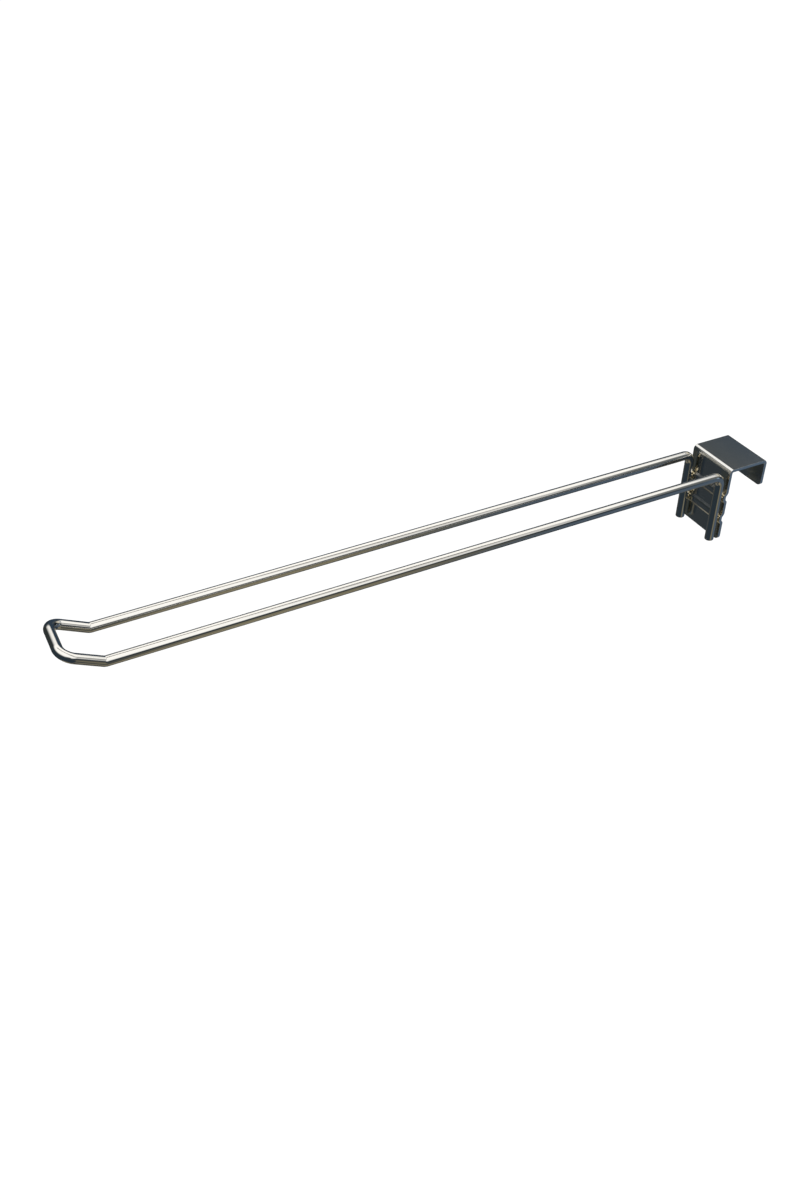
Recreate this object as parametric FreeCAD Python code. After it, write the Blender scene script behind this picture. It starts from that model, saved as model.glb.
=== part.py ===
import FreeCAD, Part
import math
import os

from FreeCAD import Vector

# A saddle-mount display hook: one bent wire, welded to the ribs of one folded sheet bracket.
#
# Millimetres. +X is to the right, +Y to the back and +Z up. The origin is the centre of the
# underside of the bracket's web, the face that rests on the crossbar. The arms point to -Y.

# ---- Driving dimensions: bracket ----
SHEET = 2.0                 # sheet thickness
BRACKET_WIDTH = 37.0
CHANNEL_DEPTH = 26.0        # inside, plate to lip: takes a 25 mm deep crossbar
PLATE_BELOW_SEAT = 51.5     # how far the front plate hangs below the seat
LIP_BELOW_SEAT = 17.5       # how far the rear lip hangs below the seat
FOLD_INSIDE_RADIUS = 0.4    # both folds, on their inner side
CORNER_RADIUS = 3.0         # lower corners of the plate and of the lip

# ---- Driving dimensions: the two ribs pressed forward out of the plate ----
RIB_HEIGHT = 1.4            # how far a crest stands in front of the plate
RIB_CENTRES_BELOW_SEAT = {"upper": 19.2, "lower": 35.2}
RIB_CREST = 3.9             # flat crest, before its edges are rounded
RIB_UPPER_RUN = 2.05        # height of the slope above the crest
RIB_LOWER_RUN = 1.6         # height of the steeper slope below it
RIB_INSIDE_RADIUS = 0.5     # every rib bend, on its inner side

# ---- Driving dimensions: wire prong ----
WIRE_DIAMETER = 6.0
PRONG_SPACING = 31.0        # between the two arms' axes
ARM_BELOW_SEAT = 2.4        # arm axis below the seat
ARM_LENGTH = 401.5          # leg axis to kink
LEG_END_BELOW_SEAT = 51.0
LEG_STAND_OFF = 1.55        # leg's surface to the flat of the plate
UPTURN_ANGLE = 27.3         # degrees above horizontal
UPTURN_LENGTH = 23.9        # kink to the axis of the closing bar
REAR_BEND_RADIUS = 6.0      # bend radii are to the wire's axis
KINK_RADIUS = 4.0
TIP_BEND_RADIUS = 7.5
LEG_END_ROUND = 0.5         # edge of the cut ends of the wire

# ---- Driving dimensions: welds ----
WELD_DIAMETER = 3.2

# ---- Worked out from the dimensions above ----
WIRE_RADIUS = WIRE_DIAMETER / 2
PRONG_X = PRONG_SPACING / 2
PLATE_FRONT_Y = -CHANNEL_DEPTH / 2 - SHEET
LIP_BACK_Y = CHANNEL_DEPTH / 2 + SHEET
LEG_Y = PLATE_FRONT_Y - LEG_STAND_OFF - WIRE_RADIUS
KINK_Y = LEG_Y - ARM_LENGTH
TIP_Y = KINK_Y - UPTURN_LENGTH * math.cos(math.radians(UPTURN_ANGLE))
TIP_Z = UPTURN_LENGTH * math.sin(math.radians(UPTURN_ANGLE)) - ARM_BELOW_SEAT

TOLERANCE = 1e-6


def corner_arc(before, corner, after, radius):
    """First, middle and last points of the arc that rounds a corner and is tangent to both runs."""
    to_before = (before - corner).normalize()
    to_after = (after - corner).normalize()
    bisector = (to_before + to_after).normalize()
    half_angle = to_before.getAngle(to_after) / 2
    reach = radius / math.tan(half_angle)
    depth = radius / math.sin(half_angle) - radius
    return corner + to_before * reach, corner + bisector * depth, corner + to_after * reach


def rounded_edges(corners, radii):
    """Edges of an open line through the corners, each inner corner rounded by its radius."""
    edges = []
    start = corners[0]
    for before, corner, after, radius in zip(corners, corners[1:], corners[2:], radii):
        first, middle, last = corner_arc(before, corner, after, radius)
        edges.append(Part.LineSegment(start, first).toShape())
        edges.append(Part.Arc(first, middle, last).toShape())
        start = last
    edges.append(Part.LineSegment(start, corners[-1]).toShape())
    return edges


def bracket_outer_line():
    """Corners of the sheet's outer face, from the plate's lower edge over the web to the lip's
    lower edge, and the inside radius of the bend at each inner corner."""
    corners = [Vector(0, PLATE_FRONT_Y, -PLATE_BELOW_SEAT)]
    inside_radii = []
    crest_y = PLATE_FRONT_Y - RIB_HEIGHT
    for centre_below_seat in sorted(RIB_CENTRES_BELOW_SEAT.values(), reverse=True):
        crest_bottom = -centre_below_seat - RIB_CREST / 2
        crest_top = -centre_below_seat + RIB_CREST / 2
        corners.append(Vector(0, PLATE_FRONT_Y, crest_bottom - RIB_LOWER_RUN))
        corners.append(Vector(0, crest_y, crest_bottom))
        corners.append(Vector(0, crest_y, crest_top))
        corners.append(Vector(0, PLATE_FRONT_Y, crest_top + RIB_UPPER_RUN))
        inside_radii += [RIB_INSIDE_RADIUS] * 4
    corners.append(Vector(0, PLATE_FRONT_Y, SHEET))
    corners.append(Vector(0, LIP_BACK_Y, SHEET))
    inside_radii += [FOLD_INSIDE_RADIUS] * 2
    corners.append(Vector(0, LIP_BACK_Y, -LIP_BELOW_SEAT))
    return corners, inside_radii


def inward_normals(corners):
    """For each run between two corners, the unit vector from the outer face into the sheet."""
    normals = []
    for start, end in zip(corners, corners[1:]):
        along = (end - start).normalize()
        normals.append(Vector(0, along.z, -along.y))
    return normals


def sheet_face_edges(depth):
    """Edges of the sheet's face that lies depth behind its outer face."""
    corners, inside_radii = bracket_outer_line()
    normals = inward_normals(corners)
    moved = [corners[0] + normals[0] * depth]
    radii = []
    runs = zip(corners[1:], normals, normals[1:], inside_radii)
    for corner, normal, next_normal, inside_radius in runs:
        moved.append(corner + (normal + next_normal) * (depth / (1 + normal.dot(next_normal))))
        bulges_outward = normal.cross(next_normal).x < 0
        radii.append(inside_radius + (SHEET - depth if bulges_outward else depth))
    moved.append(corners[-1] + normals[-1] * depth)
    return rounded_edges(moved, radii)


def lower_corner_edges(solid):
    """The four short edges through the sheet at the lower corners of the plate and the lip."""
    found = []
    for edge in solid.Edges:
        box = edge.BoundBox
        runs_along_y = box.XLength < TOLERANCE and box.ZLength < TOLERANCE
        at_lower_end = min(abs(box.ZMin + PLATE_BELOW_SEAT), abs(box.ZMin + LIP_BELOW_SEAT)) < TOLERANCE
        if runs_along_y and at_lower_end:
            found.append(edge)
    return found


def make_bracket():
    """One folded sheet: ribbed front plate, web and rear lip."""
    outer = sheet_face_edges(0)
    inner = sheet_face_edges(SHEET)
    plate_end = Part.LineSegment(outer[0].Vertexes[0].Point, inner[0].Vertexes[0].Point).toShape()
    lip_end = Part.LineSegment(outer[-1].Vertexes[-1].Point, inner[-1].Vertexes[-1].Point).toShape()
    section = Part.Face(Part.Wire(Part.__sortEdges__(outer + [lip_end] + inner + [plate_end])))
    section.translate(Vector(-BRACKET_WIDTH / 2, 0, 0))
    sheet = section.extrude(Vector(BRACKET_WIDTH, 0, 0))
    return sheet.makeFillet(CORNER_RADIUS, lower_corner_edges(sheet))


def prong_axis():
    """The wire's axis, from the left leg's cut end round the tip to the right leg's cut end."""
    leg_end = Vector(PRONG_X, LEG_Y, -LEG_END_BELOW_SEAT)
    rear_bend = Vector(PRONG_X, LEG_Y, -ARM_BELOW_SEAT)
    kink = Vector(PRONG_X, KINK_Y, -ARM_BELOW_SEAT)
    tip = Vector(PRONG_X, TIP_Y, TIP_Z)
    right_side = [tip, kink, rear_bend, leg_end]
    left_side = [Vector(-point.x, point.y, point.z) for point in reversed(right_side)]
    side_radii = [TIP_BEND_RADIUS, KINK_RADIUS, REAR_BEND_RADIUS]
    return Part.Wire(rounded_edges(left_side + right_side, side_radii[::-1] + side_radii))


def make_prong():
    """One round wire swept along its axis, with the edges of its two cut ends rounded."""
    start = Vector(-PRONG_X, LEG_Y, -LEG_END_BELOW_SEAT)
    section = Part.Wire(Part.makeCircle(WIRE_RADIUS, start, Vector(0, 0, 1)))
    wire = prong_axis().makePipeShell([section], True, False)
    end_edges = [edge for edge in wire.Edges if edge.BoundBox.ZMax < -LEG_END_BELOW_SEAT + TOLERANCE]
    return wire.makeFillet(LEG_END_ROUND, end_edges)


def make_weld(x, rib_z, prong, bracket):
    """The nugget that fills the gap between one leg and one rib's crest, and fits both faces."""
    behind_crest = Vector(x, PLATE_FRONT_Y, rib_z)
    disc = Part.makeCylinder(WELD_DIAMETER / 2, PLATE_FRONT_Y - LEG_Y, behind_crest, Vector(0, -1, 0))
    return disc.cut([prong, bracket])


def make_nodes():
    """Every piece by its node name."""
    prong = make_prong()
    bracket = make_bracket()
    nodes = {"prong_wire": prong, "saddle_bracket": bracket}
    for level, centre_below_seat in RIB_CENTRES_BELOW_SEAT.items():
        for side, x in (("left", -PRONG_X), ("right", PRONG_X)):
            nodes["weld_" + level + "_" + side] = make_weld(x, -centre_below_seat, prong, bracket)
    return nodes


os.makedirs("parts", exist_ok=True)
for node, shape in make_nodes().items():
    solid = shape.Solids[0]
    box = solid.BoundBox
    print(
        f"{node}: solids {len(shape.Solids)}, valid {shape.isValid()}, volume {shape.Volume:.2f}, "
        f"x {box.XMin:.2f} to {box.XMax:.2f}, y {box.YMin:.2f} to {box.YMax:.2f}, "
        f"z {box.ZMin:.2f} to {box.ZMax:.2f}"
    )
    solid.exportStep("parts/" + node + ".step")
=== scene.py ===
import math
import random

import bmesh
import bpy
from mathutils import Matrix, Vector


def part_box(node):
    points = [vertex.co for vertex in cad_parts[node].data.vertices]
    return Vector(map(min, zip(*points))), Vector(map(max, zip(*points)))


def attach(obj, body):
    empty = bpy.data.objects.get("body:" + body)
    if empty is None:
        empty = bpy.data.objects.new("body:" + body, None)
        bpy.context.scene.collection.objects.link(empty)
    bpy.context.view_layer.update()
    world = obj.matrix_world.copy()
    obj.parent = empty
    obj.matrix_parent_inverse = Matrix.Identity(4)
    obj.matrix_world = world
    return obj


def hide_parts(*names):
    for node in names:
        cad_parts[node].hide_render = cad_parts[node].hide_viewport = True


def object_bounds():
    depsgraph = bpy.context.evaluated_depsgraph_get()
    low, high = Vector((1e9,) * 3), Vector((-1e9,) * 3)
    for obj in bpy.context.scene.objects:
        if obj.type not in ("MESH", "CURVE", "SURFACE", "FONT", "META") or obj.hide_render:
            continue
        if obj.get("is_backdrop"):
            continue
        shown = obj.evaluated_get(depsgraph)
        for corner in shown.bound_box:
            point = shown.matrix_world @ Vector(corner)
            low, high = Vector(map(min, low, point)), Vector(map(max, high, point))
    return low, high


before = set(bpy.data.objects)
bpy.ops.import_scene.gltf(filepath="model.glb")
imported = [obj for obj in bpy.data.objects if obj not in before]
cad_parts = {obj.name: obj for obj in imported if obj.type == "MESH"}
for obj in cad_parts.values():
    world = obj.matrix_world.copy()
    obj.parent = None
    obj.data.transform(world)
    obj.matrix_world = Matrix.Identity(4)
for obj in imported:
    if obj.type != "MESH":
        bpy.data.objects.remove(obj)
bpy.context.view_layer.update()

# A saddle-mount display hook: one bent plated wire, welded to the ribs of one folded plated sheet.
# Metres, in the CAD's frame: +X right, +Y back, +Z up, origin under the bracket's web.
MM = 0.001

# ---- Wire ----
WIRE_RADIUS = 3.0 * MM
ARM_BELOW_SEAT = 2.4 * MM
UPTURN_ANGLE = math.radians(27.3)
REAR_BEND_RADIUS = 6.0 * MM      # bend radii are to the wire's axis
KINK_RADIUS = 4.0 * MM
TIP_BEND_RADIUS = 7.5 * MM
CUT_END_ROUND = 0.5 * MM
WIRE_SIDES = 72
END_STEPS = 6
WIRE_RUN_STEP = 6.0 * MM
WIRE_ARC_STEP = math.radians(3.0)

# ---- Sheet ----
SHEET = 2.0 * MM
FOLD_INSIDE_RADIUS = 0.1 * MM
FOLD_START = -0.2 * MM           # height at which each fold sets off, with a first shallow bend
FOLD_LEAN = math.radians(31.0)   # of the short slope between that bend and the main one
CORNER_RADIUS = 3.0 * MM
EDGE_ROUND = 0.12 * MM           # of the cut edges, on both faces
RIB_HEIGHT = 1.4 * MM
RIB_CENTRES = {"lower": -35.2 * MM, "upper": -19.2 * MM}
RIB_CREST = 3.9 * MM
RIB_UPPER_RUN = 2.05 * MM
RIB_LOWER_RUN = 1.6 * MM
RIB_INSIDE_RADIUS = 0.5 * MM
LIP_BELOW_SEAT = 17.5 * MM
SHEET_RUN_STEP = 1.5 * MM
SHEET_ARC_STEP = math.radians(5.0)
SHEET_COLUMNS = 24
EDGE_STEPS = 5
CORNER_STEPS = 12
ROW_GAP = 1e-6                   # rows nearer than this to a lower corner's end are left out
# First and last stretch of each fold's shallow bend and slope, and of the web, counted back from
# the end of the bracket's line.
FOLD_STRETCHES = {"front": (-8, -7), "web": (-5, -5), "rear": (-3, -2)}

# ---- Welds ----
WELD_SEED = 11
WELD_SIDES = 64
WELD_STEPS = 10
WELD_SINK = 0.1 * MM             # how far each foot is buried in the metal under it
CREST_FOOT = (2.0 * MM, 1.4 * MM)   # half width and half height of the foot on the rib's crest
LEG_FOOT = (1.8 * MM, 1.3 * MM)     # and of the one on the leg
WELD_RIPPLE = 0.05               # unevenness of a foot's outline, as a share of its size
WELD_WAVES = (2, 3, 5, 8)        # how many times each wave of it goes round the foot

# ---- Finishes: colours are in linear light; a RANGE is the stretch of a noise that is used ----
NOISE_RANGE = (0.3, 0.7)

# ---- Wire finish: sizes are two across the wire and one along it ----
WIRE_LINES = (0.22 * MM, 0.22 * MM, 45 * MM)
WIRE_CLOUDS = (4 * MM, 4 * MM, 12 * MM)
WIRE_PITS = (0.5 * MM, 0.5 * MM, 0.7 * MM)
WIRE_LINE_ROUGHNESS = (0.0, 0.05)
WIRE_CLOUD_ROUGHNESS = (0.04, 0.09)
WIRE_CLOUD_RANGE = (0.35, 0.75)
WIRE_TINTS = ((0.75, 0.745, 0.735, 1), (0.69, 0.685, 0.675, 1))
WIRE_LINE_TINT = (0.60, 0.59, 0.57, 1)
WIRE_LINE_SHARE = 0.15
WIRE_LINE_RANGE = (0.55, 0.75)       # where that tint sets in
WIRE_LINE_RELIEF = 0.003 * MM
WIRE_PIT_RELIEF = 0.002 * MM

# ---- Sheet finish: sizes are across the blank, along it and through it ----
SHEET_GRAIN = (0.45 * MM, 0.45 * MM, 0.45 * MM)
SHEET_ROLLING = (0.5 * MM, 25 * MM, 5 * MM)
SHEET_CLOUDS = (7 * MM, 7 * MM, 7 * MM)
SHEET_SHEAR = (0.25 * MM, 0.25 * MM, 2.5 * MM)
GRAIN_ROUGHNESS = (0.0, 0.06)
CLOUD_ROUGHNESS = (0.07, 0.11)
OFF_WEB_ROUGHNESS = 0.02
FOLD_BAND_ROUGHNESS = (0.14, 0.30)
FOLD_BAND_FADE = (-14 * MM, -9 * MM)     # where the folds' duller band and its painted highlight fade in, from the left
FOLD_BAND_BLUR = 0.1 * MM
WEB_BLUR = 0.5 * MM
SHEET_TINTS = ((0.70, 0.705, 0.71, 1), (0.64, 0.645, 0.655, 1))
# Painted reflection: the web's base colour runs from warm at its front to blue at its rear.
WEB_REFLECTION_TINTS = ((0.82, 0.76, 0.69, 1), (0.61, 0.65, 0.71, 1))      # its front and its rear
WEB_REFLECTION_SHARE = 0.8
# A warm straw tint laid on the plate's strip behind each leg, from the front fold down to the lower edge.
LEG_TINT = (0.82, 0.75, 0.58, 1)
LEG_TINT_START = (9.5 * MM, 12.5 * MM)  # from the middle, where the warm tint behind each leg sets in
LEG_TINT_SHARE = 0.85
LEG_TINT_BLUR = 1 * MM
SPECKLE_TINT = (0.48, 0.48, 0.48, 1)
SPECKLE_SHARES = (0.5, 0.1)          # off the web and on it
SPECKLE_RANGE = (0.50, 0.70)
# Painted highlight: a brighter cream base colour on the band along each fold.
FOLD_HIGHLIGHT_TINT = (0.90, 0.87, 0.79, 1)
# Painted reflection: the cut edges get a lighter, bluer base colour.
CUT_EDGE_REFLECTION_TINT = (0.80, 0.83, 0.86, 1)
SHEAR_RELIEF = 0.006 * MM
ROLLING_RELIEF = 0.002 * MM
GRAIN_RELIEF = 0.006 * MM

# ---- Weld finish ----
WELD_LUMPS = (0.7 * MM, 0.7 * MM, 0.7 * MM)
WELD_GRIT = (0.15 * MM, 0.15 * MM, 0.15 * MM)
WELD_ROUGHNESS = (0.26, 0.38)
WELD_HIGHLIGHT_AND_SHADE_TINTS = ((0.58, 0.50, 0.35, 1), (0.84, 0.77, 0.61, 1))     # its hollows and its lumps: painted shade and a warm painted highlight
WELD_LUMP_RANGE = (0.35, 0.65)
WELD_LUMP_RELIEF = 0.010 * MM
WELD_GRIT_RELIEF = 0.002 * MM

# ---- Camera ----
CAMERA_AZIMUTH = math.radians(63.14)
CAMERA_ELEVATION = math.radians(37.76)
CAMERA_DISTANCE = 699.0 * MM     # from the plane through the centre of the object's box
CAMERA_AIM_LEFT = 24.1 * MM      # where it aims, from that centre
CAMERA_AIM_DOWN = 19.8 * MM
CAMERA_LENS = 35.0
CAMERA_SENSOR = 36.0
CAMERA_CLIP = (0.01, 100.0)

# ---- Stage ----
FLOOR_BELOW = 500 * MM
FLOOR_SIZE = 60.0
FLOOR_COLOUR = (0.97, 0.97, 0.97, 1)
FLOOR_ROUGHNESS = 0.9
DOME_RADIUS = 1.1
DOME_DETAIL = 5
BACKDROP = (1.1, 1.1, 1.1)


# ---------------------------------------------------------------- smooth lines
def rounded_line(corners, radii):
    """Straight runs joined by tangent arcs, as (length, turn, at) for each stretch in order, where
    at(distance) gives the point and the unit tangent at that distance into the stretch."""
    stretches = []
    start = corners[0]
    for before, corner, after, radius in zip(corners, corners[1:], corners[2:], radii):
        incoming = (corner - before).normalized()
        outgoing = (after - corner).normalized()
        turn = incoming.angle(outgoing)
        reach = radius * math.tan(turn / 2)
        stretches.append(straight_stretch(start, corner - incoming * reach))
        stretches.append(arc_stretch(corner - incoming * reach, incoming, outgoing, radius, turn))
        start = corner + outgoing * reach
    stretches.append(straight_stretch(start, corners[-1]))
    return stretches


def straight_stretch(start, end):
    along = (end - start).normalized()
    return (end - start).length, 0.0, lambda distance: (start + along * distance, along)


def arc_stretch(start, incoming, outgoing, radius, turn):
    inward = (outgoing - incoming * incoming.dot(outgoing)).normalized()
    centre = start + inward * radius

    def at(distance):
        angle = distance / radius
        point = centre + (incoming * math.sin(angle) - inward * math.cos(angle)) * radius
        return point, incoming * math.cos(angle) + inward * math.sin(angle)

    return radius * turn, turn, at


def line_length(stretches):
    return sum(length for length, turn, at in stretches)


def point_on(stretches, distance):
    """Point and unit tangent at a distance along the whole line."""
    for length, turn, at in stretches[:-1]:
        if distance <= length:
            return at(distance)
        distance -= length
    return stretches[-1][2](distance)


def stations(stretches, run_step, arc_step):
    """Distances along the line at which to place rings or rows: close together on its arcs."""
    distances = [0.0]
    for length, turn, at in stretches:
        count = max(1, math.ceil(turn / arc_step if turn else length / run_step))
        begin = distances[-1]
        distances += [begin + length * k / count for k in range(1, count + 1)]
    return distances


# ---------------------------------------------------------------- mesh making
def new_piece(name, points, faces, normals, rest_name, rest_points):
    """A smooth mesh object with exact normals. rest_points is where each vertex lay on the straight
    wire or the flat sheet, which the materials read so that their grain follows the metal."""
    mesh = bpy.data.meshes.new(name)
    mesh.from_pydata(points, [], faces)
    mesh.polygons.foreach_set("use_smooth", [True] * len(mesh.polygons))
    attribute = mesh.attributes.new(rest_name, "FLOAT_VECTOR", "POINT")
    attribute.data.foreach_set("vector", [value for point in rest_points for value in point])
    mesh.normals_split_custom_set_from_vertices([normal.normalized() for normal in normals])
    mesh.validate()
    piece = bpy.data.objects.new(name, mesh)
    bpy.context.scene.collection.objects.link(piece)
    return piece


# ---------------------------------------------------------------- wire prong
def prong_line():
    """The wire's axis, from the left leg's cut end round the tip to the right leg's."""
    low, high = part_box("prong_wire")
    x = high.x - WIRE_RADIUS
    leg_y = high.y - WIRE_RADIUS
    arm_z = -ARM_BELOW_SEAT
    tip = Vector((x, low.y + WIRE_RADIUS, high.z - WIRE_RADIUS))
    kink = Vector((x, tip.y + (tip.z - arm_z) / math.tan(UPTURN_ANGLE), arm_z))
    right = [tip, kink, Vector((x, leg_y, arm_z)), Vector((x, leg_y, low.z))]
    left = [Vector((-point.x, point.y, point.z)) for point in reversed(right)]
    radii = [TIP_BEND_RADIUS, KINK_RADIUS, REAR_BEND_RADIUS]
    return rounded_line(left + right, radii[::-1] + radii)


def wire_rings(line):
    """Rings from end to end of the wire, as (distance, radius, lean): the distance along the axis,
    the ring's radius, and how far its normals lean from straight out towards the nearer cut end."""
    length = line_length(line)
    rounding = [math.pi / 2 * k / END_STEPS for k in range(END_STEPS + 1)]
    near_end = []
    for angle in reversed(rounding):
        distance = CUT_END_ROUND * (1 - math.sin(angle))
        near_end.append((distance, WIRE_RADIUS - CUT_END_ROUND * (1 - math.cos(angle)), angle))
    middle = []
    for distance in stations(line, WIRE_RUN_STEP, WIRE_ARC_STEP):
        if CUT_END_ROUND < distance < length - CUT_END_ROUND:
            middle.append((distance, WIRE_RADIUS, 0.0))
    far_end = [(length - distance, radius, -lean) for distance, radius, lean in reversed(near_end)]
    return near_end + middle + far_end


def make_prong():
    line = prong_line()
    points, normals, rest, faces = [], [], [], []
    side = Vector((1, 0, 0))
    old_tangent = point_on(line, 0)[1]
    rings = wire_rings(line)
    for distance, radius, lean in rings:
        centre, tangent = point_on(line, distance)
        side = old_tangent.rotation_difference(tangent) @ side
        old_tangent = tangent
        up = tangent.cross(side)
        for k in range(WIRE_SIDES):
            angle = 2 * math.pi * k / WIRE_SIDES
            out = side * math.cos(angle) + up * math.sin(angle)
            points.append(centre + out * radius)
            normals.append(out * math.cos(lean) - tangent * math.sin(lean))
            rest.append((radius * math.cos(angle), radius * math.sin(angle), distance))
    for ring in range(len(rings) - 1):
        for k in range(WIRE_SIDES):
            here = ring * WIRE_SIDES + k
            beside = ring * WIRE_SIDES + (k + 1) % WIRE_SIDES
            faces.append((here, beside, beside + WIRE_SIDES, here + WIRE_SIDES))
    last = (len(rings) - 1) * WIRE_SIDES
    faces.append(tuple(reversed(range(WIRE_SIDES))))
    faces.append(tuple(range(last, last + WIRE_SIDES)))
    piece = new_piece("bent_wire_prong", points, faces, normals, "straight_wire", rest)
    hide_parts("prong_wire")
    return piece


# ---------------------------------------------------------------- saddle bracket
def bracket_line():
    """The sheet's outer face seen from the side, from the plate's lower edge over the web to the
    lip's lower edge."""
    low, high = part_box("saddle_bracket")
    front = low.y + RIB_HEIGHT
    corners = [Vector((0, front, low.z))]
    radii = []
    crest_radius = RIB_INSIDE_RADIUS + SHEET
    for centre in sorted(RIB_CENTRES.values()):
        crest_bottom, crest_top = centre - RIB_CREST / 2, centre + RIB_CREST / 2
        corners.append(Vector((0, front, crest_bottom - RIB_LOWER_RUN)))
        corners.append(Vector((0, low.y, crest_bottom)))
        corners.append(Vector((0, low.y, crest_top)))
        corners.append(Vector((0, front, crest_top + RIB_UPPER_RUN)))
        radii += [RIB_INSIDE_RADIUS, crest_radius, crest_radius, RIB_INSIDE_RADIUS]
    slope_depth = (high.z - FOLD_START) * math.tan(FOLD_LEAN)
    corners.append(Vector((0, front, FOLD_START)))
    corners.append(Vector((0, front + slope_depth, high.z)))
    corners.append(Vector((0, high.y - slope_depth, high.z)))
    corners.append(Vector((0, high.y, FOLD_START)))
    corners.append(Vector((0, high.y, -LIP_BELOW_SEAT)))
    radii += [FOLD_INSIDE_RADIUS + SHEET] * 4
    return rounded_line(corners, radii)


def fold_spans(line):
    """Where each fold's shallow bend and slope, and the web, start and end along the line."""
    lengths = [length for length, turn, at in line]
    spans = {}
    for name, (first, last) in FOLD_STRETCHES.items():
        start = sum(lengths[:first])
        spans[name] = (start, start + sum(lengths[first:last + 1]))
    return spans


def blank_rows(line):
    """Rows across the flat blank, as (distance, half width, lean): the outline is drawn in by the
    edge's rounding, and lean turns its outward direction round each lower corner."""
    length = line_length(line)
    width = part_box("saddle_bracket")[1].x
    corner = CORNER_RADIUS - EDGE_ROUND
    rows = []
    for k in range(CORNER_STEPS + 1):
        lean = math.pi / 2 * (1 - k / CORNER_STEPS)
        distance = EDGE_ROUND + corner * (1 - math.sin(lean))
        rows.append((distance, width - CORNER_RADIUS + corner * math.cos(lean), lean))
    far_rows = [(length - distance, half, -lean) for distance, half, lean in reversed(rows)]
    for distance in stations(line, SHEET_RUN_STEP, SHEET_ARC_STEP):
        if CORNER_RADIUS + ROW_GAP < distance < length - CORNER_RADIUS - ROW_GAP:
            rows.append((distance, width - EDGE_ROUND, 0.0))
    return rows + far_rows


def column_x(half, column):
    return half * (2 * column / SHEET_COLUMNS - 1)


def blank_outline(rows):
    """Round the blank's edge, as (row, column, out_along, out_x): a place on the grid, and the
    direction that points out of the blank there."""
    columns = range(SHEET_COLUMNS + 1)
    sides = [(row, math.sin(rows[row][2]), math.cos(rows[row][2])) for row in range(1, len(rows) - 1)]
    outline = [(0, column, -1.0, 0.0) for column in columns]
    outline += [(row, SHEET_COLUMNS, -along, across) for row, along, across in sides]
    outline += [(len(rows) - 1, column, 1.0, 0.0) for column in reversed(columns)]
    outline += [(row, 0, -along, -across) for row, along, across in reversed(sides)]
    return outline


def edge_layers():
    """Layers through the cut edge from the outer face to the inner one, as (depth, reach, slope),
    where reach is how far a layer stands out from where the edge's rounding starts."""
    layers = []
    for k in range(1, EDGE_STEPS + 1):
        slope = math.pi / 2 * k / EDGE_STEPS
        layers.append((EDGE_ROUND * (1 - math.cos(slope)), EDGE_ROUND * math.sin(slope), slope))
    return layers + [(SHEET - depth, reach, math.pi - slope) for depth, reach, slope in reversed(layers)]


class FoldedSheet:
    """The bracket's mesh, made on the flat blank and folded along the line."""

    def __init__(self):
        self.line = bracket_line()
        self.rows = blank_rows(self.line)
        self.points, self.normals, self.rest, self.faces = [], [], [], []

    def vertex(self, distance, x, depth, out_along, out_x, slope):
        """One vertex. slope is 0 on the outer face, a quarter turn on the cut edge and a half turn
        on the inner face; out_along and out_x point out of the blank's outline."""
        point, along = point_on(self.line, distance)
        into = Vector((0, along.z, -along.y))
        outward = along * out_along + Vector((out_x, 0, 0))
        self.points.append(point + Vector((x, 0, 0)) + into * depth)
        self.normals.append(outward * math.sin(slope) - into * math.cos(slope))
        self.rest.append((x, distance, depth))
        return len(self.points) - 1

    def face_grid(self, depth, slope):
        """The vertices of one broad face, by row and column."""
        grid = []
        for distance, half, lean in self.rows:
            across = [column_x(half, column) for column in range(SHEET_COLUMNS + 1)]
            grid.append([self.vertex(distance, x, depth, 0, 0, slope) for x in across])
        return grid

    def cover(self, outer, inner):
        """The faces of both broad sides."""
        for row in range(len(self.rows) - 1):
            for k in range(SHEET_COLUMNS):
                for grid, step in ((outer, 1), (inner, -1)):
                    corners = (grid[row][k], grid[row][k + 1], grid[row + 1][k + 1], grid[row + 1][k])
                    self.faces.append(corners[::step])

    def close_edge(self, outer, inner):
        """The rounded cut edge that joins the two broad faces."""
        outline = blank_outline(self.rows)
        rings = [[outer[row][column] for row, column, out_along, out_x in outline]]
        for depth, reach, slope in edge_layers():
            ring = []
            for row, column, out_along, out_x in outline:
                distance, half, lean = self.rows[row]
                along = distance + out_along * reach
                x = column_x(half, column) + out_x * reach
                ring.append(self.vertex(along, x, depth, out_along, out_x, slope))
            rings.append(ring)
        rings.append([inner[row][column] for row, column, out_along, out_x in outline])
        for ring, next_ring in zip(rings, rings[1:]):
            for k in range(len(ring)):
                n = (k + 1) % len(ring)
                self.faces.append((ring[k], next_ring[k], next_ring[n], ring[n]))


def make_bracket():
    sheet = FoldedSheet()
    outer, inner = sheet.face_grid(0.0, 0.0), sheet.face_grid(SHEET, math.pi)
    sheet.cover(outer, inner)
    sheet.close_edge(outer, inner)
    name = "folded_saddle_bracket"
    piece = new_piece(name, sheet.points, sheet.faces, sheet.normals, "flat_sheet", sheet.rest)
    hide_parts("saddle_bracket")
    return piece


# ---------------------------------------------------------------- weld beads
def uneven(dice):
    """A closed wobble: a function of angle that averages 1."""
    waves = [(count, dice.uniform(0, 2 * math.pi)) for count in WELD_WAVES]

    def scale(angle):
        wobble = sum(math.cos(count * angle + phase) / count for count, phase in waves)
        return 1 + WELD_RIPPLE * wobble

    return scale


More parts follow.
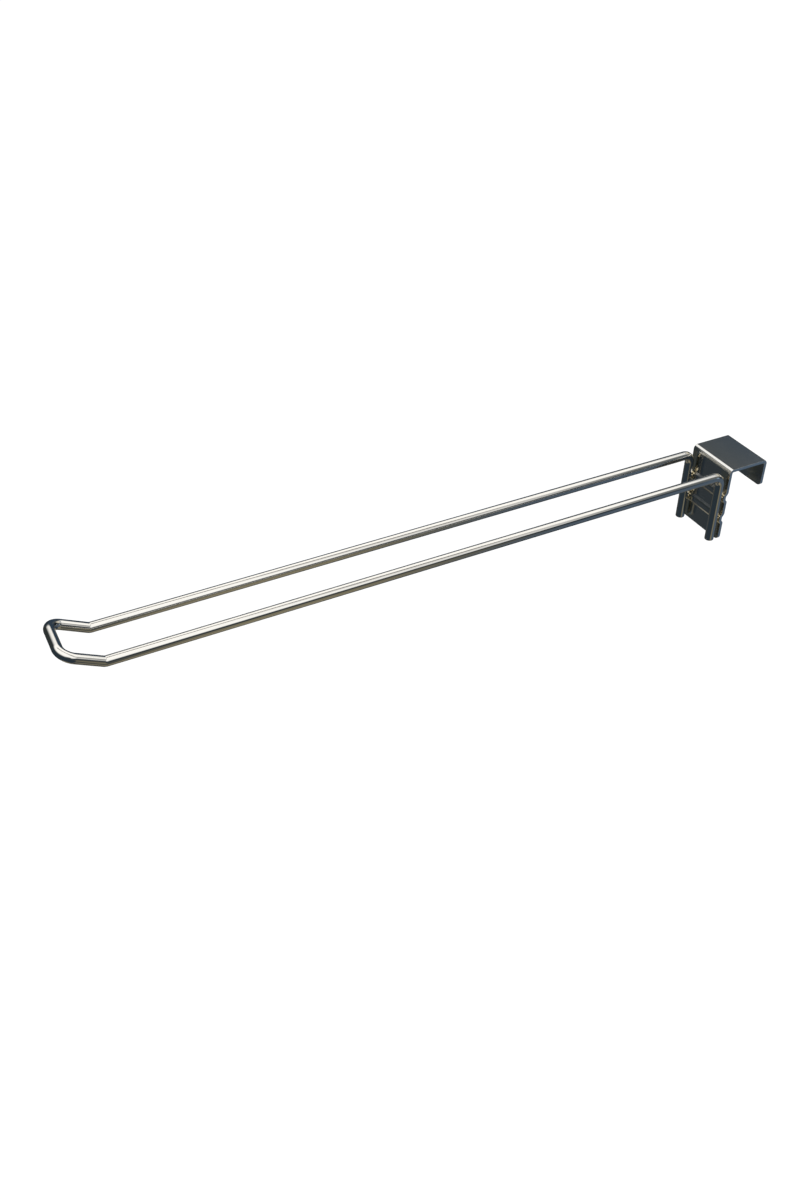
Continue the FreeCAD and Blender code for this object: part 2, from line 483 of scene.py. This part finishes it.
def weld_points(centre, crest_y, leg_axis_y, crest_scale, leg_scale):
    """Rings from the foot on the crest to the foot on the leg, which follows the round wire."""
    points = []
    for step in range(WELD_STEPS + 1):
        share = math.pi / 2 * step / WELD_STEPS
        for k in range(WELD_SIDES):
            angle = 2 * math.pi * k / WELD_SIDES
            foot = Vector((CREST_FOOT[0] * math.cos(angle), 0, CREST_FOOT[1] * math.sin(angle)))
            foot *= crest_scale(angle)
            neck = Vector((LEG_FOOT[0] * math.cos(angle), 0, LEG_FOOT[1] * math.sin(angle)))
            neck *= leg_scale(angle)
            leg_y = leg_axis_y + math.sqrt(WIRE_RADIUS ** 2 - neck.x ** 2) - WELD_SINK
            point = foot.lerp(neck, math.sin(share))
            point.y = leg_y + (crest_y - leg_y) * math.cos(share)
            points.append(Vector((centre.x + point.x, point.y, centre.z + point.z)))
    return points


def weld_faces():
    faces = []
    for step in range(WELD_STEPS):
        for k in range(WELD_SIDES):
            here = step * WELD_SIDES + k
            beside = step * WELD_SIDES + (k + 1) % WELD_SIDES
            faces.append((here, here + WELD_SIDES, beside + WELD_SIDES, beside))
    top = WELD_STEPS * WELD_SIDES
    faces.append(tuple(range(WELD_SIDES)))
    faces.append(tuple(reversed(range(top, top + WELD_SIDES))))
    return faces


def make_weld(node, dice):
    """Metal squeezed out between a leg and a rib's crest: a wide foot on the crest, drawn in by a
    hollow curve to a smaller foot on the leg."""
    low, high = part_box(node)
    crest_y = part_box("saddle_bracket")[0].y + WELD_SINK
    leg_axis_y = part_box("prong_wire")[1].y - WIRE_RADIUS
    crest_scale, leg_scale = uneven(dice), uneven(dice)
    points = weld_points((low + high) / 2, crest_y, leg_axis_y, crest_scale, leg_scale)
    mesh = bpy.data.meshes.new(node + "_bead")
    mesh.from_pydata(points, [], weld_faces())
    mesh.polygons.foreach_set("use_smooth", [True] * len(mesh.polygons))
    piece = bpy.data.objects.new(node + "_bead", mesh)
    bpy.context.scene.collection.objects.link(piece)
    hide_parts(node)
    return piece


# ---------------------------------------------------------------- shader nodes
COLOUR_MIX_INPUTS = (0, 6, 7)        # a Mix node's sockets for its share and its two colours
COLOUR_MIX_OUTPUT = 2


def add(tree, kind, inputs=(), **settings):
    """Adds a node. inputs maps a socket's name or number to a value, or to a socket to link from."""
    made = tree.nodes.new("ShaderNode" + kind)
    for name, value in settings.items():
        setattr(made, name, value)
    for key, value in dict(inputs).items():
        if isinstance(value, bpy.types.NodeSocket):
            tree.links.new(value, made.inputs[key])
        else:
            made.inputs[key].default_value = value
    return made


def math_node(tree, operation, *values):
    return add(tree, "Math", dict(enumerate(values)), operation=operation).outputs[0]


def span(tree, value, low, high, start, end, smooth=False):
    """Maps value from low..high to start..end, clamped."""
    kind = "SMOOTHSTEP" if smooth else "LINEAR"
    inputs = {"Value": value, "From Min": low, "From Max": high, "To Min": start, "To Max": end}
    return add(tree, "MapRange", inputs, interpolation_type=kind).outputs["Result"]


def within(tree, value, low, high, blur):
    """1 where value lies between low and high, fading to 0 over blur outside them."""
    rise = span(tree, value, low - blur, low, 0.0, 1.0)
    return math_node(tree, "MINIMUM", rise, span(tree, value, high, high + blur, 1.0, 0.0))


def noise(tree, place, sizes, detail=2.0, roughness=0.5):
    """Noise whose features are about sizes (x, y, z) across, in metres."""
    scaled = add(tree, "VectorMath", {0: place, 1: [1 / size for size in sizes]}, operation="MULTIPLY")
    inputs = {"Vector": scaled.outputs[0], "Scale": 1.0, "Detail": detail, "Roughness": roughness}
    return add(tree, "TexNoise", inputs).outputs[0]


def mix_colour(tree, share, first, second):
    inputs = dict(zip(COLOUR_MIX_INPUTS, (share, first, second)))
    return add(tree, "Mix", inputs, data_type="RGBA").outputs[COLOUR_MIX_OUTPUT]


def bump(tree, height, distance, normal=None):
    """Raises the surface by height, 0 to 1, times distance in metres."""
    inputs = {"Height": height, "Distance": distance, "Strength": 1.0}
    if normal is not None:
        inputs["Normal"] = normal
    return add(tree, "Bump", inputs).outputs["Normal"]


def metal(name):
    """An empty metal material, as (material, its tree, its shader)."""
    material = bpy.data.materials.new(name)
    material.use_nodes = True
    tree = material.node_tree
    shader = tree.nodes["Principled BSDF"]
    shader.inputs["Metallic"].default_value = 1.0
    return material, tree, shader


def rest_place(tree, attribute):
    return add(tree, "Attribute", attribute_name=attribute, attribute_type="GEOMETRY").outputs["Vector"]


# ---------------------------------------------------------------- materials
def polished_wire():
    """Bright plating over drawn wire: fine lines along it, faint cloudy patches and shallow pits."""
    material, tree, shader = metal("polished_wire")
    place = rest_place(tree, "straight_wire")
    lines = noise(tree, place, WIRE_LINES, detail=3.0)
    clouds = noise(tree, place, WIRE_CLOUDS, detail=3.0)
    pits = noise(tree, place, WIRE_PITS, detail=1.0)
    fine = span(tree, lines, *NOISE_RANGE, *WIRE_LINE_ROUGHNESS)
    hazy = span(tree, clouds, *WIRE_CLOUD_RANGE, *WIRE_CLOUD_ROUGHNESS)
    tree.links.new(math_node(tree, "ADD", fine, hazy), shader.inputs["Roughness"])
    tint = mix_colour(tree, clouds, *WIRE_TINTS)
    lined_share = span(tree, lines, *WIRE_LINE_RANGE, 0.0, WIRE_LINE_SHARE)
    tint = mix_colour(tree, lined_share, tint, WIRE_LINE_TINT)
    tree.links.new(tint, shader.inputs["Base Color"])
    lined = bump(tree, lines, WIRE_LINE_RELIEF)
    tree.links.new(bump(tree, pits, WIRE_PIT_RELIEF, lined), shader.inputs["Normal"])
    return material


def fold_highlight_mask(tree, across, distance, spans):
    """1 on the duller band along the outside of each fold, which also carries a painted highlight."""
    front = within(tree, distance, *spans["front"], FOLD_BAND_BLUR)
    rear = within(tree, distance, *spans["rear"], FOLD_BAND_BLUR)
    return math_node(tree, "MULTIPLY", math_node(tree, "MAXIMUM", front, rear),
                     span(tree, across, *FOLD_BAND_FADE, 0.0, 1.0))


def sheet_roughness(tree, grain, clouds, on_web, drawn):
    rough = math_node(tree, "ADD", span(tree, grain, *NOISE_RANGE, *GRAIN_ROUGHNESS),
                      span(tree, clouds, *NOISE_RANGE, *CLOUD_ROUGHNESS))
    rough = math_node(tree, "ADD", rough, span(tree, on_web, 0.0, 1.0, OFF_WEB_ROUGHNESS, 0.0))
    coarse = span(tree, grain, *NOISE_RANGE, *FOLD_BAND_ROUGHNESS)
    return math_node(tree, "ADD", rough, math_node(tree, "MULTIPLY", drawn, coarse))


def web_reflection_and_leg_tint(tree, tint, across, distance, on_web, spans):
    """Adds a painted reflection on the web, warm at its front and blue at its rear, and a warm straw tint
    on the plate behind each leg.
    """
    # Painted reflection: the web's colour fades from its warm front tint to its blue rear tint.
    web_reflection = mix_colour(tree, span(tree, distance, *spans["web"], 0.0, 1.0), *WEB_REFLECTION_TINTS)
    tint = mix_colour(tree, math_node(tree, "MULTIPLY", on_web, WEB_REFLECTION_SHARE), tint, web_reflection)
    # A warm straw tint on the plate's strip behind each leg.
    from_middle = math_node(tree, "ABSOLUTE", across)
    behind_leg = span(tree, from_middle, *LEG_TINT_START, 0.0, LEG_TINT_SHARE)
    plate_end = spans["front"][0]
    on_plate = span(tree, distance, plate_end - LEG_TINT_BLUR, plate_end, 1.0, 0.0)
    return mix_colour(tree, math_node(tree, "MULTIPLY", behind_leg, on_plate), tint, LEG_TINT)


def plated_sheet():
    """Bright plating over rolled sheet: a fine grain and dark speckle, faint rolling lines down the
    blank, a duller band on each fold with a painted highlight, a painted reflection on the web
    running warm to blue, a warm tint behind each leg, shear marks through the cut edges, and a
    painted bluish reflection on those edges."""
    material, tree, shader = metal("plated_sheet")
    place = rest_place(tree, "flat_sheet")
    grain = noise(tree, place, SHEET_GRAIN, detail=3.0, roughness=0.6)
    rolling = noise(tree, place, SHEET_ROLLING, detail=2.0)
    clouds = noise(tree, place, SHEET_CLOUDS, detail=3.0)
    shear = noise(tree, place, SHEET_SHEAR, detail=1.0)
    axes = add(tree, "SeparateXYZ", {0: place}).outputs
    across, distance, depth = axes["X"], axes["Y"], axes["Z"]
    spans = fold_spans(bracket_line())
    on_web = within(tree, distance, *spans["web"], WEB_BLUR)
    # drawn is the band along each fold: it is rougher, and it carries a painted highlight.
    drawn = fold_highlight_mask(tree, across, distance, spans)
    tree.links.new(sheet_roughness(tree, grain, clouds, on_web, drawn), shader.inputs["Roughness"])

    tint = mix_colour(tree, clouds, *SHEET_TINTS)
    tint = web_reflection_and_leg_tint(tree, tint, across, distance, on_web, spans)
    speckle = span(tree, on_web, 0.0, 1.0, *SPECKLE_SHARES)
    speckle = math_node(tree, "MULTIPLY", speckle, span(tree, grain, *SPECKLE_RANGE, 0.0, 1.0))
    tint = mix_colour(tree, speckle, tint, SPECKLE_TINT)
    # Painted highlight: the band along each fold gets a brighter cream base colour.
    tint = mix_colour(tree, drawn, tint, FOLD_HIGHLIGHT_TINT)
    from_middle = math_node(tree, "ABSOLUTE", math_node(tree, "SUBTRACT", depth, SHEET / 2))
    on_edge = span(tree, from_middle, SHEET / 2 - EDGE_ROUND, SHEET / 2, 1.0, 0.0)
    # Painted reflection: a lighter, bluer base colour on the cut edges.
    tint = mix_colour(tree, on_edge, tint, CUT_EDGE_REFLECTION_TINT)
    tree.links.new(tint, shader.inputs["Base Color"])

    sheared = bump(tree, math_node(tree, "MULTIPLY", shear, on_edge), SHEAR_RELIEF)
    rolled = bump(tree, rolling, ROLLING_RELIEF, sheared)
    tree.links.new(bump(tree, grain, GRAIN_RELIEF, rolled), shader.inputs["Normal"])
    return material


def plated_weld():
    """Plating over a weld: duller than the rest and faintly lumpy, with a warm straw base colour that
    is a painted highlight, painted darker in its hollows as shade."""
    material, tree, shader = metal("plated_weld")
    place = add(tree, "TexCoord").outputs["Object"]
    lumps = noise(tree, place, WELD_LUMPS, detail=3.0)
    grit = noise(tree, place, WELD_GRIT, detail=2.0)
    tree.links.new(span(tree, grit, *NOISE_RANGE, *WELD_ROUGHNESS), shader.inputs["Roughness"])
    # Painted highlight and shade: a warm cream tint, lighter on the lumps and darker in the hollows.
    tint = mix_colour(tree, span(tree, lumps, *WELD_LUMP_RANGE, 0.0, 1.0), *WELD_HIGHLIGHT_AND_SHADE_TINTS)
    tree.links.new(tint, shader.inputs["Base Color"])
    lumpy = bump(tree, lumps, WELD_LUMP_RELIEF)
    tree.links.new(bump(tree, grit, WELD_GRIT_RELIEF, lumpy), shader.inputs["Normal"])
    return material


# ---------------------------------------------------------------- camera and stage
def make_camera():
    low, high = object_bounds()
    back = Vector((
        math.sin(CAMERA_AZIMUTH) * math.cos(CAMERA_ELEVATION),
        -math.cos(CAMERA_AZIMUTH) * math.cos(CAMERA_ELEVATION),
        math.sin(CAMERA_ELEVATION),
    ))
    right = Vector((math.cos(CAMERA_AZIMUTH), math.sin(CAMERA_AZIMUTH), 0))
    aim = (low + high) / 2 - right * CAMERA_AIM_LEFT - back.cross(right) * CAMERA_AIM_DOWN
    data = bpy.data.cameras.new("camera")
    data.lens = CAMERA_LENS
    data.sensor_width = CAMERA_SENSOR
    data.clip_start, data.clip_end = CAMERA_CLIP
    camera = bpy.data.objects.new("camera", data)
    camera.rotation_mode = "QUATERNION"
    camera.location = aim + back * CAMERA_DISTANCE
    camera.rotation_quaternion = (-back).to_track_quat("-Z", "Y")
    bpy.context.scene.collection.objects.link(camera)
    bpy.context.scene.camera = camera


def make_floor():
    """A plain pale floor. The metal reflects the dome and not the floor."""
    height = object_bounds()[0].z - FLOOR_BELOW
    half = FLOOR_SIZE / 2
    corners = [(-half, -half, height), (half, -half, height), (half, half, height), (-half, half, height)]
    mesh = bpy.data.meshes.new("floor")
    mesh.from_pydata(corners, [], [(0, 1, 2, 3)])
    floor = bpy.data.objects.new("floor", mesh)
    bpy.context.scene.collection.objects.link(floor)
    material = bpy.data.materials.new("floor")
    material.use_nodes = True
    shader = material.node_tree.nodes["Principled BSDF"]
    shader.inputs["Base Color"].default_value = FLOOR_COLOUR
    shader.inputs["Roughness"].default_value = FLOOR_ROUGHNESS
    shader.inputs["Specular IOR Level"].default_value = 0.0
    mesh.materials.append(material)
    floor.visible_glossy = False
    floor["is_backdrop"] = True


# The studio as the metal sees it, painted from back to front on a dome round the object. Azimuth 0
# is in front, 90 to the right; each soft-edged patch is (azimuth, half width, its blur, elevation,
# half height, its blur, colour), in degrees and linear light.
DOME_BASE = (0.028, 0.041, 0.053)
DOME_PATCHES = {
    "back_wall": (155, 35, 14, -27, 25, 10, (0.094, 0.128, 0.170)),
    "back_left_low": (-146, 14, 8, -30, 16, 8, (0.040, 0.042, 0.036)),
    "front_floor": (-45, 62, 20, -58, 13, 4, (0.22, 0.20, 0.145)),
    "nadir": (0, 190, 1, -90, 14, 8, (0.105, 0.110, 0.105)),
    "left_floor": (-103, 18, 8, -53, 9, 5, (0.60, 0.53, 0.36)),
    "front_left": (-46, 12, 7, 2, 20, 8, (0.035, 0.041, 0.040)),
    "right_floor": (103, 14, 10, -33, 25, 10, (0.245, 0.220, 0.146)),
    "warm_floor": (98, 43, 14, -64, 13, 12, (0.340, 0.296, 0.195)),
    "horizon": (88, 15, 8, -2, 6, 4, (0.050, 0.057, 0.056)),
    "mid_horizon": (111, 8, 5, -4, 9, 5, (0.120, 0.112, 0.088)),
    "under_shelf": (56, 14, 6, -77, 7, 5, (0.035, 0.033, 0.025)),
    "window": (142, 6, 4, 5, 6, 3, (0.36, 0.50, 0.68)),
    "ceiling": (0, 190, 1, 90, 58, 11, (1.38, 1.35, 1.27)),
    "left_wall": (-114, 26, 9, -12, 42, 6, (0.034, 0.058, 0.088)),
    "left_low": (-78, 22, 10, -36, 12, 6, (0.058, 0.062, 0.060)),
    "left_stand": (-94, 9, 7, -34, 10, 5, (0.092, 0.092, 0.076)),
    "left_panel": (-108, 18, 8, 50, 17, 6, (1.42, 1.38, 1.29)),
    "back_panel": (-172, 22, 6, 26, 9, 5, (0.78, 0.72, 0.58)),
    "back_left_dark": (-158, 14, 6, 0, 16, 5, (0.014, 0.016, 0.018)),
    "back_gap": (-176, 20, 6, 41, 3, 3, (0.16, 0.20, 0.25)),
    "white_card": (161, 6, 4, 39, 5, 4, (1.2, 1.2, 1.18)),
    "right_panel": (108, 28, 10, 51, 25, 10, (1.33, 1.31, 1.25)),
    "front_right": (68, 13, 8, 20, 14, 6, (0.050, 0.060, 0.065)),
    "grey_panel": (137, 20, 10, 54, 23, 12, (0.84, 0.82, 0.78)),
    "back_flag": (146, 13, 8, 27, 15, 7, (0.17, 0.18, 0.175)),
    "back_left": (-138, 12, 6, 20, 16, 5, (0.080, 0.097, 0.110)),
}
# A dark seam crosses the ceiling: the great circle square to SEAM_NORMAL, fading in between two
# elevations. Its widths are distances on a dome of radius 1.
SEAM_NORMAL = Vector((-0.70, 0.70, -0.15)).normalized()
SEAM_HALF_WIDTH = 0.078
SEAM_BLUR = 0.025
SEAM_FADE = (50.0, 60.0)
SEAM_COLOUR = (0.09, 0.085, 0.075)


def paint_patch(tree, azimuth, elevation, under, patch):
    centre, half_width, side_blur, middle, half_height, end_blur, colour = patch
    beside = math_node(tree, "WRAP", math_node(tree, "SUBTRACT", azimuth, centre), 180.0, -180.0)
    beside = math_node(tree, "ABSOLUTE", beside)
    above = math_node(tree, "ABSOLUTE", math_node(tree, "SUBTRACT", elevation, middle))
    across = span(tree, beside, half_width - side_blur, half_width + side_blur, 1.0, 0.0, smooth=True)
    upright = span(tree, above, half_height - end_blur, half_height + end_blur, 1.0, 0.0, smooth=True)
    return mix_colour(tree, math_node(tree, "MULTIPLY", across, upright), under, (*colour, 1))


def paint_seam(tree, direction, elevation, under):
    off = add(tree, "VectorMath", {0: direction, 1: SEAM_NORMAL}, operation="DOT_PRODUCT").outputs["Value"]
    off = math_node(tree, "ABSOLUTE", off)
    inside, outside = SEAM_HALF_WIDTH - SEAM_BLUR, SEAM_HALF_WIDTH + SEAM_BLUR
    seam = span(tree, off, inside, outside, 1.0, 0.0, smooth=True)
    overhead = span(tree, elevation, *SEAM_FADE, 0.0, 1.0, smooth=True)
    return mix_colour(tree, math_node(tree, "MULTIPLY", seam, overhead), under, (*SEAM_COLOUR, 1))


def dome_material():
    material = bpy.data.materials.new("studio_dome")
    material.use_nodes = True
    tree = material.node_tree
    tree.nodes.clear()
    place = add(tree, "TexCoord").outputs["Object"]
    direction = add(tree, "VectorMath", {0: place}, operation="NORMALIZE").outputs[0]
    parts = add(tree, "SeparateXYZ", {0: direction}).outputs
    forward = math_node(tree, "MULTIPLY", parts["Y"], -1.0)
    azimuth = math_node(tree, "DEGREES", math_node(tree, "ARCTAN2", parts["X"], forward))
    elevation = math_node(tree, "DEGREES", math_node(tree, "ARCSINE", parts["Z"]))
    colour = (*DOME_BASE, 1)
    for patch in DOME_PATCHES.values():
        colour = paint_patch(tree, azimuth, elevation, colour, patch)
    colour = paint_seam(tree, direction, elevation, colour)
    light = add(tree, "Emission", {"Color": colour, "Strength": 1.0})
    add(tree, "OutputMaterial", {"Surface": light.outputs[0]})
    return material


def make_dome():
    """A dome that lights the metal and that only the metal sees."""
    low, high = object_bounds()
    ball = bmesh.new()
    bmesh.ops.create_icosphere(ball, subdivisions=DOME_DETAIL, radius=DOME_RADIUS)
    mesh = bpy.data.meshes.new("studio_dome")
    ball.to_mesh(mesh)
    ball.free()
    mesh.materials.append(dome_material())
    dome = bpy.data.objects.new("studio_dome", mesh)
    dome.location = (0, (low.y + high.y) / 2, 0)
    bpy.context.scene.collection.objects.link(dome)
    dome.visible_camera = False
    dome.visible_diffuse = False
    dome.visible_shadow = False
    dome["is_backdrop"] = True


def make_backdrop():
    """An even white world, which lights the floor."""
    world = bpy.data.worlds.new("backdrop")
    world.use_nodes = True
    background = world.node_tree.nodes["Background"]
    background.inputs["Color"].default_value = (*BACKDROP, 1)
    bpy.context.scene.world = world


# ---------------------------------------------------------------- assembly
def make_hook():
    dice = random.Random(WELD_SEED)
    sheet, wire, weld = plated_sheet(), polished_wire(), plated_weld()
    pieces = [(make_prong(), wire), (make_bracket(), sheet)]
    for node in ("weld_upper_left", "weld_upper_right", "weld_lower_left", "weld_lower_right"):
        pieces.append((make_weld(node, dice), weld))
    for piece, material in pieces:
        piece.data.materials.append(material)
        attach(piece, "root")


make_hook()
make_camera()
make_floor()
make_dome()
make_backdrop()
bpy.context.scene.view_settings.view_transform = "Standard"
